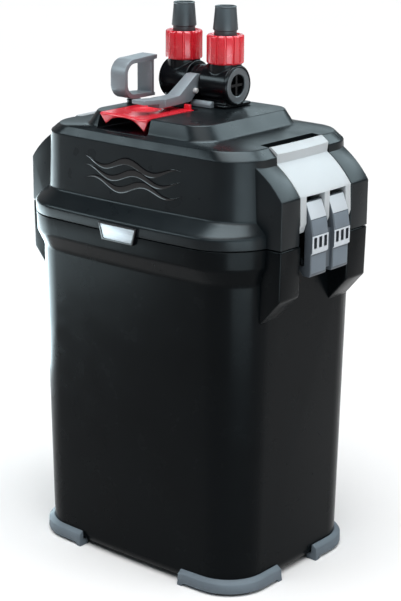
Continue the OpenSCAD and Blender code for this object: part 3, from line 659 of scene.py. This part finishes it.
def make_hook_trim():
    """Light faces: the frames of the slots, the ridge below them and the entry ramps."""
    out = 0.06
    face = [(GRIP_X + out, 253.1), (PAD_X, 254.5), (PAD_X, 266.1), (PAD_X - 0.3, 266.5),
            (PAD_X - 0.6, 266.1), (PAD_X - 0.6, 254.7), (GRIP_X - 0.4, 253.3)]
    ramp = [(RAMP_LOW[0] - 0.3, 277.8), (RAMP_LOW[0] + out, 278.2), (117.3, 289.5), (116.9, 289.2)]
    parts, cuts = [], []
    for y in PRONGS:
        parts.append(prism(face, y - 9.3, y + 9.3, bevel=0.12))
        parts.append(prism(ramp, y - 9.0, y + 9.0, bevel=0.1))
        cuts += slot_cuts(y)
    return solid(parts, cuts, "hook_trim")


def make_hook_patches():
    """Finely textured grips above and below the slots."""
    inner, outer, ramp = GRIP_X - 0.4, GRIP_X + 0.18, RAMP_LOW[0]
    low = [(inner, 239.4), (outer, 239.4), (outer, 252.2), (inner, 252.2)]
    high = [(PAD_X - 0.45, 267.0), (PAD_X - 0.02, 267.0), (ramp + 0.3, 277.3), (ramp - 0.4, 277.3)]
    patches = [prism(shape, y - 8.5, y + 8.5, bevel=0.12) for y in PRONGS for shape in (low, high)]
    return solid(patches, name="hook_patches")


def make_clamps():
    for make, look, slot, part, body in (
            (make_clamp_lever, "lever_grey", "light_grey_plastic", "clamp_lever", "clamp_lever"),
            (make_hooks, "hook_plastic", "hook_plastic", "clamp_hooks", "clamp_hooks"),
            (make_hook_trim, "ridge_grey", "hook_plastic", "hook_trim", "clamp_hooks"),
            (make_hook_patches, "patch_grey", "hook_plastic", "hook_patches", "clamp_hooks")):
        right = make()
        left = mirrored(right, part)
        for side, made in (("right", right), ("left", left)):
            nodes = [part + "_" + side] if part in ("clamp_lever", "clamp_hooks") else []
            finish_piece(made, part + "_piece_" + side, look, body + "_" + side, nodes)


# ---------------------------------------- hose valve

BARREL_IN = 6.2                              # from the valve's middle to a barrel's inner end
SADDLE_BACK = VALVE.y + 17.9                 # back face of the slab and the saddles


def make_valve_body():
    """Two barrels with necks and saddles, moulded in one with soft transitions."""
    parts = []
    slab, shelf = PLATFORM_Z + 0.15, VALVE.z + 2
    for side, s in SIDES.items():
        port = PORT[side]
        x0, x1 = sorted((VALVE_X + s * BARREL_IN, port + s * BARREL_OUT))
        parts.append(rod("x", VALVE_AXIS, BARREL_R - 0.1, x0, x1, 96))
        parts.append(rod("z", (port, VALVE.y, 0), 12.2, shelf, NUT_LOW + 16.2, 96))
        parts.append(block(x0 + 1.5, x1 - 1.5, VALVE.y - 11, VALVE.y + 11, slab, VALVE.z - 6, bevel=1.5))
        parts.append(block(port - 5, port + 5, VALVE.y + 8, SADDLE_BACK, VALVE.z - 12, shelf, bevel=1))
    left, right = PORT["left"], PORT["right"]
    parts.append(block(left - 10, right + 11, VALVE.y - 13, SADDLE_BACK, slab, slab + 2.6, bevel=1))
    parts.append(block(left - 4, right + 4, VALVE.y + 14, SADDLE_BACK, slab, shelf, bevel=1))
    made = solid(parts, name="valve")
    remesh = made.modifiers.new("blend", "REMESH")
    remesh.mode = "VOXEL"
    remesh.voxel_size = 0.55
    soften = made.modifiers.new("soften", "SMOOTH")
    soften.factor = 0.5
    soften.iterations = 7
    apply_modifiers(made)
    fewer = made.modifiers.new("fewer", "DECIMATE")
    fewer.ratio = 0.45
    apply_modifiers(made)
    cuts = []
    for side, s in SIDES.items():
        port = PORT[side]
        cuts.append(rod("x", VALVE_AXIS, 12.45, *sorted((port - s * 9.3, port + s * 14))))
        cuts.append(rod("x", VALVE_AXIS, 6.3, *sorted((VALVE_X + s * 5, port))))
        cuts.append(rod("z", (port, VALVE.y, 0), 7, 330, 390))
    combine(made, cuts, "DIFFERENCE")
    finish_piece(made, "valve_body_piece", "valve_plastic", "canister", ["valve_body"], crease=45)


def make_end_caps():
    """Black retaining rim with a flat grey ring round the rotor's end."""
    rim = [(12.9, 0), (BARREL_R, 0), (BARREL_R, 0.75), (BARREL_R - 0.25, 1.1), (BARREL_R - 1.0, 1.8),
           (13.3, 1.8), (12.9, 1.35)]
    ring_flat = [(8.1, 0), (12.9, 0), (12.9, 1.2), (12.5, 1.5), (11.9, 1.2), (8.5, 1.2), (8.1, 0.9)]
    for side, s in SIDES.items():
        face = PORT[side] + s * (BARREL_OUT + 0.05)
        for profile, part, look, nodes in ((rim, "valve_cap_rim_", "valve_plastic", ["valve_end_caps"]),
                                           (ring_flat, "valve_cap_ring_", "cap_grey", [])):
            shape = [(r, s * h) for r, h in profile]
            made = to_object(lathe(shape, (face, VALVE.y, VALVE.z), "x", 96))
            finish_piece(made, part + side, look, "canister", nodes)


# Side view of the arm in YZ, its corner radii, and its plan about the valve's middle
ARM = [(-53.5, 346.5), (-36.6, 345.3), (-36.6, 342.0), (-1.1, 342.6), (4.6, 347.8), (9, 350.5), (11, 361.6),
       (5.2, 361.7), (-14.8, 348.5), (-29.8, 347.8), (-53.5, 349.7)]
ARM_RADII = [0.8, 0, 1.0, 1.6, 1.5, 0, 0, 0.8, 1.2, 1.6, 0.8]
ARM_PLAN = [(-5.7, -54), (5.7, -54), (5.7, -31), (6.2, -30.6), (5, 0), (5, 22), (-5, 22), (-5, 0),
            (-6.2, -30.6), (-5.7, -31)]
CATCH = (0, 3.2, 350.2)                      # axis of the catch pin


def make_valve_lever():
    """Arm with a thumb tab, its hub and catch pin, and the fixed bar that the arm latches on."""
    arm = to_object(prism(fillet(ARM, ARM_RADII, 3), VALVE_X - 7, VALVE_X + 7, "x", bevel=0))
    plan = prism([(VALVE_X + x, y) for x, y in ARM_PLAN], 330, 375, "z", bevel=0)
    combine(arm, [plan], "INTERSECT")
    bm = bmesh.new()
    bm.from_mesh(arm.data)
    bmesh.ops.remove_doubles(bm, verts=bm.verts, dist=0.001)
    bmesh.ops.dissolve_limit(bm, angle_limit=math.radians(1), verts=bm.verts, edges=bm.edges)
    round_edges(bm, 0.55, 3, 30)
    bm.to_mesh(arm.data)
    bm.free()
    combine(arm, [rod("x", VALVE_AXIS, 12.32, VALVE_X - 8, VALVE_X + 8),
                  rod("x", CATCH, 2.02, VALVE_X - 8, VALVE_X + 8, 24)], "DIFFERENCE")
    finish_piece(arm, "valve_lever_arm", "arm_grey", "valve_lever", ["valve_lever"])
    hub = [(6, -5.9), (11.8, -5.9), (12.3, -5.4), (12.3, -1.6), (11.7, -1.2), (11.7, 1.2), (12.3, 1.6),
           (12.3, 5.4), (11.8, 5.9), (6, 5.9)]
    made = to_object(lathe(hub, (VALVE_X, VALVE.y, VALVE.z), "x"))
    finish_piece(made, "valve_hub_piece", "valve_plastic", "valve_lever", ["valve_hub"])
    pin = [(0, -6), (2, -6), (2, 6.9), (1.3, 7.6), (0, 7.6)]
    made = to_object(lathe(pin, (VALVE_X, *CATCH[1:]), "x", 32))
    finish_piece(made, "lever_catch", "impeller_plastic", "valve_lever", ["lever_catch_pin"])
    latch = [(2.7, 338.8), (6.8, 338.8), (6.8, 343.2), (4.4, 343.2), (3.4, 342.4), (2.7, 341)]
    bar = to_object(prism(fillet(latch, 0.3, 3), VALVE_X + 1.6, VALVE_X + 20.4, "x", 0.3))
    finish_piece(bar, "valve_latch_bar", "arm_grey", "canister", ["valve_latch"])


# ---------------------------------------- hose nuts and cuffs

PANELS = 14
PANEL_STEPS = 12                             # points along one panel with its groove


def make_nut(side):
    """Ribbed nut: wide flat panels with narrow grooves between them."""
    def turn(radius, z, depth):
        """One turn round the nut, with grooves of that depth."""
        row = []
        for i in range(PANELS * PANEL_STEPS):
            on_panel = 0.12 < (i % PANEL_STEPS) / PANEL_STEPS < 0.88
            r = radius if on_panel else radius - depth
            a = math.tau * i / (PANELS * PANEL_STEPS)
            row.append((PORT[side] + r * math.cos(a), VALVE.y + r * math.sin(a), z))
        return row
    low, high = NUT_LOW, NUT_HIGH
    turns = [(12.4, low, 0), (NUT_R - 0.9, low, 0.3), (NUT_R - 0.25, low + 0.5, 0.7),
             (NUT_R, low + 1.4, 0.9), (NUT_R, high - 1.6, 0.9), (NUT_R - 0.2, high - 0.8, 0.7),
             (NUT_R - 0.8, high - 0.15, 0.1), (NUT_R - 1.5, high, 0), (NUT_R - 2.3, high - 0.1, 0),
             (NUT_R - 2.9, high - 0.8, 0), (9.4, high - 0.8, 0), (9, high - 1.2, 0), (9, high - 3, 0),
             (12.4, high - 3, 0)]
    made = to_object(closed_loft([turn(*keys) for keys in turns]))
    node = "hose_nut_" + side
    finish_piece(made, "hose_nut_piece_" + side, "red_plastic", node, [node], crease=40)


def make_cuff(side):
    """Collared sleeve with a flange at its foot and a cone that narrows towards the hose's end."""
    low, high = CUFF_LOW, CUFF_HIGH
    profile = [(6.3, low), (11.9, low), (12.1, low + 0.3), (12.1, low + 1.0), (11.8, low + 1.3),
               (8.9, low + 1.3), (8.3, low + 2), (8.2, 392.6), (8.25, 393.6), (8.7, 394.0), (9.1, 394.3),
               (9.2, 394.9), (7.85, high - 1.9), (7.75, high - 1.4), (7.95, high - 1.0),
               (8.0, high - 0.55), (7.7, high - 0.12), (7.2, high), (6.7, high - 0.1), (6.3, high - 0.7)]
    made = to_object(lathe(profile, (PORT[side], VALVE.y, 0)))
    finish_piece(made, "hose_cuff_piece_" + side, "cuff_plastic", "canister", ["hose_cuff_" + side])


# ---------------------------------------- primer handle

LOOP_LOW = 343
LOOP_HIGH = mm_box("primer_handle")[1].z
LOOP_FRONT = mm_box("primer_handle")[0].y
LOOP_BACK = -0.3
LOOP_R = 11                                  # outer radius of the two front bends
LOOP_BAND = 3.2                              # thickness of the band


def make_primer_handle():
    """Flat band bent into a loop, with a wavy top, open-ended lips at the back and a stem below."""
    centre = middle("primer_rod")
    half = (mm_box("primer_handle")[1].x - mm_box("primer_handle")[0].x) / 2
    axis = (centre.x, centre.y, 0)
    front, back, low, high, r = LOOP_FRONT + LOOP_R, LOOP_BACK, LOOP_LOW, LOOP_HIGH, LOOP_R

    def top_wave(y):
        t = min(1, max(0, (y - front) / (back + 3.5 - front)))
        return t * t * (3 - 2 * t)

    def front_bends(radius):
        lower = arc(front, low + r, radius, 270, 180, 12)
        return lower[:-1] + arc(front, high - r - 1.0, radius, 180, 90, 12)
    outer = [(back + 1.2, low)] + front_bends(r)
    outer += [(y, high - 1.0 + top_wave(y)) for y in (-18, -14, -10, -6, -2)]
    outer += [(back + 3.5, high), (back + 3.5, high - 3.1), (back + 0.6, high - 3.4), (back, high - 4.2)]
    outer += [(back, low + 3.0), (back + 0.4, low + 2.4), (back + 1.2, low + 2.2)]
    inner = [(back - 3.2, low + 2.5), (-8, low + 2.9)] + front_bends(r - LOOP_BAND)
    inner += [(y, high - 4.2 + top_wave(y)) for y in (-18, -14, -10, -6)]
    inner += [(back - 3.2, high - 3.8), (back - 2.6, high - 4.4), (back - 2.6, low + 3.1)]
    band = prism(outer, centre.x - half, centre.x + half, "x", bevel=0.5)
    opening = prism(inner, centre.x - half - 1, centre.x + half + 1, "x", bevel=0)
    stem = rod("z", axis, 4.4, low - 1.1, low + 2.6, 40)
    bore = rod("z", axis, 2.52, low - 2, low + 2, 32)
    made = solid([band, stem], [opening, bore])
    finish_piece(made, "primer_loop", "arm_grey", "primer", ["primer_handle"])
    top = PLATFORM_Z
    collar = [(2.6, 330), (5, 330), (5, top + 0.2), (5.35, top + 0.2), (5.35, top + 2.6), (4.9, top + 3.1),
              (3.2, top + 3.1), (2.6, top + 2.6)]
    made = to_object(lathe(collar, axis, "z", 48))
    finish_piece(made, "primer_collar", "black_plastic", "canister", ["primer_gland"])


# ---------------------------------------- release lever

RELEASE_X0, RELEASE_X1 = (mm_box("release_lever")[k].x for k in (0, 1))
RELEASE_FRONT, RELEASE_BACK, RELEASE_TOP = -60, -12, 338.7
BEND_R = 1.5                                 # bend between the plate and its front flanges
THUMB_REST = (-20.5, -30.5)                  # middle of the dish in the plate
DISH_R, DISH_DEEP = 11.5, 2.1
COLUMNS, FLAT_ROWS, BEND_ROWS, FLANGE_ROWS = 72, 60, 5, 4


def flange_length(u):
    """Length of the front flange at u, 0..1 from left to right."""
    right = math.exp(-((1 - u) / 0.19) ** 1.25)
    left = math.exp(-(u / 0.22) ** 1.4)
    return 7.9 * right + 6.2 * left + 0.25


def plate_height(x, y):
    """Top of the plate, with its thumb rest and a shallow valley behind the right flange."""
    d = math.hypot(x - THUMB_REST[0], y - THUMB_REST[1])
    dish = DISH_DEEP * (1 - (d / DISH_R) ** 2) ** 0.75 if d < DISH_R else 0
    valley = 0.9 * math.exp(-((x - RELEASE_X1 + 9) / 6) ** 2 - ((y - RELEASE_FRONT) / 9) ** 2)
    return RELEASE_TOP - dish - valley


def release_rows():
    """Rows of points across the plate, from its back edge over the bend to the tips of the flanges."""
    y0, y1 = RELEASE_FRONT, RELEASE_BACK
    xs = [RELEASE_X0 + (RELEASE_X1 - RELEASE_X0) * i / COLUMNS for i in range(COLUMNS + 1)]
    rows = []
    for j in range(FLAT_ROWS + 1):
        y = y1 + (y0 + BEND_R - y1) * j / FLAT_ROWS
        rows.append([(x, y, plate_height(x, y)) for x in xs])
    edge = rows[-1]
    for j in range(1, BEND_ROWS + 1):
        a = math.radians(80 * j / BEND_ROWS)
        y = y0 + BEND_R - BEND_R * math.sin(a)
        rows.append([(x, y, z - BEND_R * (1 - math.cos(a))) for x, _, z in edge])
    edge = rows[-1]
    for j in range(1, FLANGE_ROWS + 1):
        t = j / FLANGE_ROWS
        row = []
        for i, (x, y, z) in enumerate(edge):
            u = i / COLUMNS
            pull = -4.3 * max(0, (u - 0.7) / 0.3) * t + 4.5 * max(0, (0.25 - u) / 0.25) * t
            row.append((x + pull, y + 0.8 * t, z - flange_length(u) * t))
        rows.append(row)
    return rows


def make_release_lever():
    """Thin moulded plate with a dished thumb rest and two front flanges, the right one long and pointed."""
    bm = bmesh.new()
    grid = [[bm.verts.new(p) for p in row] for row in release_rows()]
    for a, b in zip(grid, grid[1:]):
        for i in range(COLUMNS):
            bm.faces.new((a[i], b[i], b[i + 1], a[i + 1]))
    plate = to_object(bm)
    if plate.data.polygons[0].normal.z < 0:
        plate.data.flip_normals()
    thick = plate.modifiers.new("thick", "SOLIDIFY")
    thick.thickness = 1.6
    thick.offset = -1
    soft = plate.modifiers.new("soft", "BEVEL")
    soft.width = 0.35
    soft.segments = 2
    soft.limit_method = "ANGLE"
    soft.angle_limit = math.radians(60)
    apply_modifiers(plate)
    hinge = middle("release_lever_pin")
    lugs = []
    for x in (RELEASE_X0 + 1, RELEASE_X1 - 8):
        lugs.append(rod("x", (0, hinge.y, hinge.z), 2.9, x, x + 7, 40))
        lugs.append(block(x, x + 7, hinge.y - 6, hinge.y, hinge.z, 338.2, bevel=0.3))
    lugs.append(block(RELEASE_X0 + 0.6, RELEASE_X1 - 0.6, -14, hinge.y + 0.4, 336.2, 338.5, bevel=0.4))
    lugs.append(block(-2.8, 3, hinge.y - 1.6, hinge.y + 0.6, 338, 342.1, bevel=0.5))
    combine(plate, lugs)
    combine(plate, [rod("x", (0, hinge.y, hinge.z), 1.3, -50, 20, 24)], "DIFFERENCE")
    finish_piece(plate, "release_plate", "red_plastic", "release_lever", ["release_lever"], crease=38)


# ---------------------------------------- badge, inlay and cable gland

BADGE_X = 2                                  # middle of the badge
BADGE_LOW, BADGE_HIGH = (14.6, 254.3), (18.1, 267.2)   # half width and height of its lower and upper edge


def badge_outline(grow):
    """Outline of the badge with rounded corners, grown by that much, or shrunk where grow is below 0."""
    (low_half, low), (high_half, high) = BADGE_LOW, BADGE_HIGH
    low_half, high_half = low_half + grow * 1.1, high_half + grow * 1.1
    low, high = low - grow, high + grow
    points = [(-low_half, low), (low_half, low), (high_half, high), (-high_half, high)]
    return fillet([(BADGE_X + x, z) for x, z in points], 0.9, 4)


def make_badge():
    # Black frame round the badge: partly its own border, partly painted shadow of the badge along its right
    # and lower edge.
    frame_and_shadow = solid([prism(badge_outline(0), -88.5, -83.4, bevel=0.25)],
                       [prism(badge_outline(-1.25), -90, -87.3, bevel=0)])
    finish_piece(frame_and_shadow, "badge_frame_and_shadow", "badge_black", "canister", ["badge_bezel"])
    plate = to_object(prism(badge_outline(-1.35), -88.25, -87.25, bevel=0.3))
    finish_piece(plate, "badge_face", "badge_metal", "canister", ["badge_plate"])


FRONT_WALL_Z = (277.0, 319.6)                # lower and upper edge of the head's front wall
RIPPLES, RIPPLE_WIDTH, RIPPLE_WAVE = 3, 92, 46


def front_y(x, z):
    """Y of the head's front wall at x and z."""
    low, high = FRONT_WALL_Z
    t = (z - low) / (high - low)
    w = WALL_LOW[0] + (WALL_HIGH[0] - WALL_LOW[0]) * t
    d = WALL_LOW[1] + (WALL_HIGH[1] - WALL_LOW[1]) * t
    return -d / 2 * (1 + BOW * (1 - (2 * x / w) ** 2))


def make_inlay():
    """Three gloss ripples that follow the bulging front wall."""
    bm = bmesh.new()
    steps = 64
    for k in range(RIPPLES):
        rows = []
        for i in range(steps + 1):
            t = i / steps - 0.5
            x = RIPPLE_WIDTH * t
            z = 291 + 7.4 * k + 3.2 * math.sin(math.radians(360 * x / RIPPLE_WAVE + 60 * k))
            half = max(0.08, 2.6 * math.cos(math.pi * t))
            edge = [(z - half, 0.6), (z - half, -0.22), (z - half * 0.6, -0.34), (z + half * 0.6, -0.34),
                    (z + half, -0.22), (z + half, 0.6)]
            rows.append([bm.verts.new((x, front_y(x, pz) + out, pz)) for pz, out in edge])
        for a, b in zip(rows, rows[1:]):
            for j in range(6):
                bm.faces.new((a[j], a[(j + 1) % 6], b[(j + 1) % 6], b[j]))
        bm.faces.new(rows[0])
        bm.faces.new(rows[-1])
    finish_piece(to_object(bm), "front_ripples", "inlay_gloss", "canister", ["front_inlay"],
                 crease=60)


def make_gland():
    """Ribbed strain relief where the mains cable would leave the head."""
    profile = [(3.2, 62.6), (6, 62.6), (6, 70.9), (8.1, 70.9), (8.5, 71.3), (8.5, 73.8), (7.8, 74.5),
               (5, 74.5)]
    y = 75.2
    while y < 86.5:
        profile += [(4.9, y), (4.9, y + 1.1), (4.2, y + 1.3), (4.2, y + 2.0)]
        y += 2.4
    profile += [(4.8, y + 0.2), (4.8, 88.1), (4.4, 88.5), (3.2, 88.5)]
    sleeve = to_object(lathe(profile, (60, 0, 286), "y", 48))
    finish_piece(sleeve, "cable_sleeve", "black_plastic", "canister", ["cable_gland"])


# ---------------------------------------- camera and studio

AZIMUTH, ELEVATION, ROLL = 39.706, 16.815, 0.434
CAMERA_DISTANCE = 1.2264
TARGET = Vector((0.0033, 0.0028, 0.1913))
LENS = 97.1


def view_direction(azimuth, elevation):
    """Unit vector from the object towards a viewer. Azimuth 0 looks along +Y, 90 along -X."""
    a, e = math.radians(azimuth), math.radians(elevation)
    return Vector((math.sin(a) * math.cos(e), -math.cos(a) * math.cos(e), math.sin(e)))


def make_camera():
    camera = bpy.data.objects.new("camera", bpy.data.cameras.new("camera"))
    bpy.context.scene.collection.objects.link(camera)
    back = view_direction(AZIMUTH, ELEVATION)
    camera.location = TARGET + back * CAMERA_DISTANCE
    turn = back.to_track_quat("Z", "Y") @ Matrix.Rotation(math.radians(ROLL), 3, "Z").to_quaternion()
    camera.rotation_euler = turn.to_euler()
    camera.data.lens = LENS
    camera.data.sensor_width = 36
    camera.data.clip_end = 50
    bpy.context.scene.camera = camera


def softbox(name, azimuth, elevation, distance, width, height, radiance, aim=0.22, glossy_only=False):
    """Rectangular light of an even radiance, aimed at the object and not seen by the camera."""
    light = bpy.data.objects.new(name, bpy.data.lights.new(name, "AREA"))
    light.data.shape = "RECTANGLE"
    light.data.size = width
    light.data.size_y = height
    light.data.energy = radiance * width * height * math.pi
    direction = view_direction(azimuth, elevation)
    light.location = Vector((0, 0, aim)) + direction * distance
    light.rotation_euler = direction.to_track_quat("Z", "Y").to_euler()
    light.visible_camera = False
    light.visible_diffuse = not glossy_only
    if glossy_only:
        light.data.color = (0.74, 0.93, 1.0)
    bpy.context.scene.collection.objects.link(light)


def make_studio():
    bpy.context.scene.view_settings.view_transform = "Standard"
    world = bpy.data.worlds.new("studio")
    bpy.context.scene.world = world
    world.use_nodes = True
    tree = world.node_tree
    seen = tree.nodes["Background"]
    seen.inputs["Color"].default_value = (1, 1, 1, 1)
    seen.inputs["Strength"].default_value = 1.0
    ambient = tree.nodes.new("ShaderNodeBackground")
    ambient.inputs["Color"].default_value = (0.86, 0.94, 1.0, 1)
    ambient.inputs["Strength"].default_value = 0.10
    path = tree.nodes.new("ShaderNodeLightPath")
    mix = tree.nodes.new("ShaderNodeMixShader")
    tree.links.new(path.outputs["Is Camera Ray"], mix.inputs["Fac"])
    tree.links.new(ambient.outputs["Background"], mix.inputs[1])
    tree.links.new(seen.outputs["Background"], mix.inputs[2])
    tree.links.new(mix.outputs["Shader"], tree.nodes["World Output"].inputs["Surface"])
    sun = bpy.data.objects.new("overhead_sky", bpy.data.lights.new("overhead_sky", "SUN"))
    sun.data.energy = 3.3
    sun.data.angle = math.radians(60)
    sun.rotation_euler = view_direction(30, 74).to_track_quat("Z", "Y").to_euler()
    bpy.context.scene.collection.objects.link(sun)
    softbox("left_wash", -100, 6, 0.9, 0.5, 0.9, 0.3, 0.30)
    softbox("right_wash", 112, 10, 1.1, 0.7, 1.1, 1.5, 0.35)
    for gloss in (("left_wall_low", -100, 0, 0.45, 0.72, 0.14, 14, 0.07),
                  ("left_wall_high", -100, 0, 0.45, 0.72, 0.12, 6, 0.20),
                  ("front_left_glow", -48, 0, 0.70, 0.34, 0.10, 8, 0.05),
                  ("corner_glow", 62, 0, 0.62, 0.46, 0.34, 7, 0.17),
                  ("overhead_gloss", 170, 82, 1.0, 0.8, 0.8, 16, 0.3),
                  ("back_sky", 150, 38, 1.1, 0.9, 0.55, 9.5, 0.3),
                  ("back_left_sky", -142, 19, 1.1, 1.1, 0.30, 1.9, 0.33),
                  ("front_top", -5, 68, 1.0, 0.5, 0.4, 9, 0.3),
                  ("front_high", 45, 30, 1.1, 1.9, 0.35, 8, 0.3),
                  ("front_left_high", -41, 24, 1.2, 0.9, 0.26, 13, 0.33)):
        softbox(*gloss, glossy_only=True)


def make_floor():
    bm = bmesh.new()
    corners = ((-6, -6), (6, -6), (6, 6), (-6, 6))
    bm.faces.new([bm.verts.new((x, y, 0)) for x, y in corners])
    floor = to_object(bm, "floor")
    tree, shader = new_material("floor_paint", (0.93, 0.93, 0.93), 0.9, specular=0.1)
    cloudy = blend_colours(tree, noise(tree, 3), (0.92, 0.92, 0.92), (0.95, 0.95, 0.95))
    tree.links.new(cloudy, shader.inputs["Base Color"])
    floor.data.materials.append(MATERIALS["floor_paint"])


make_camera()
make_studio()
make_floor()
make_case()
for place, (sx, sy) in FOOT_PLACES.items():
    make_foot(sx, sy, "foot_" + place + "_piece")
    make_foot_arch_shade(sx, sy, "foot_pad_" + place)
make_head()
make_recess_liner()
make_clamps()
make_valve_body()
make_end_caps()
make_valve_lever()
for side in SIDES:
    make_nut(side)
    make_cuff(side)
make_primer_handle()
make_release_lever()
make_badge()
make_inlay()
make_gland()
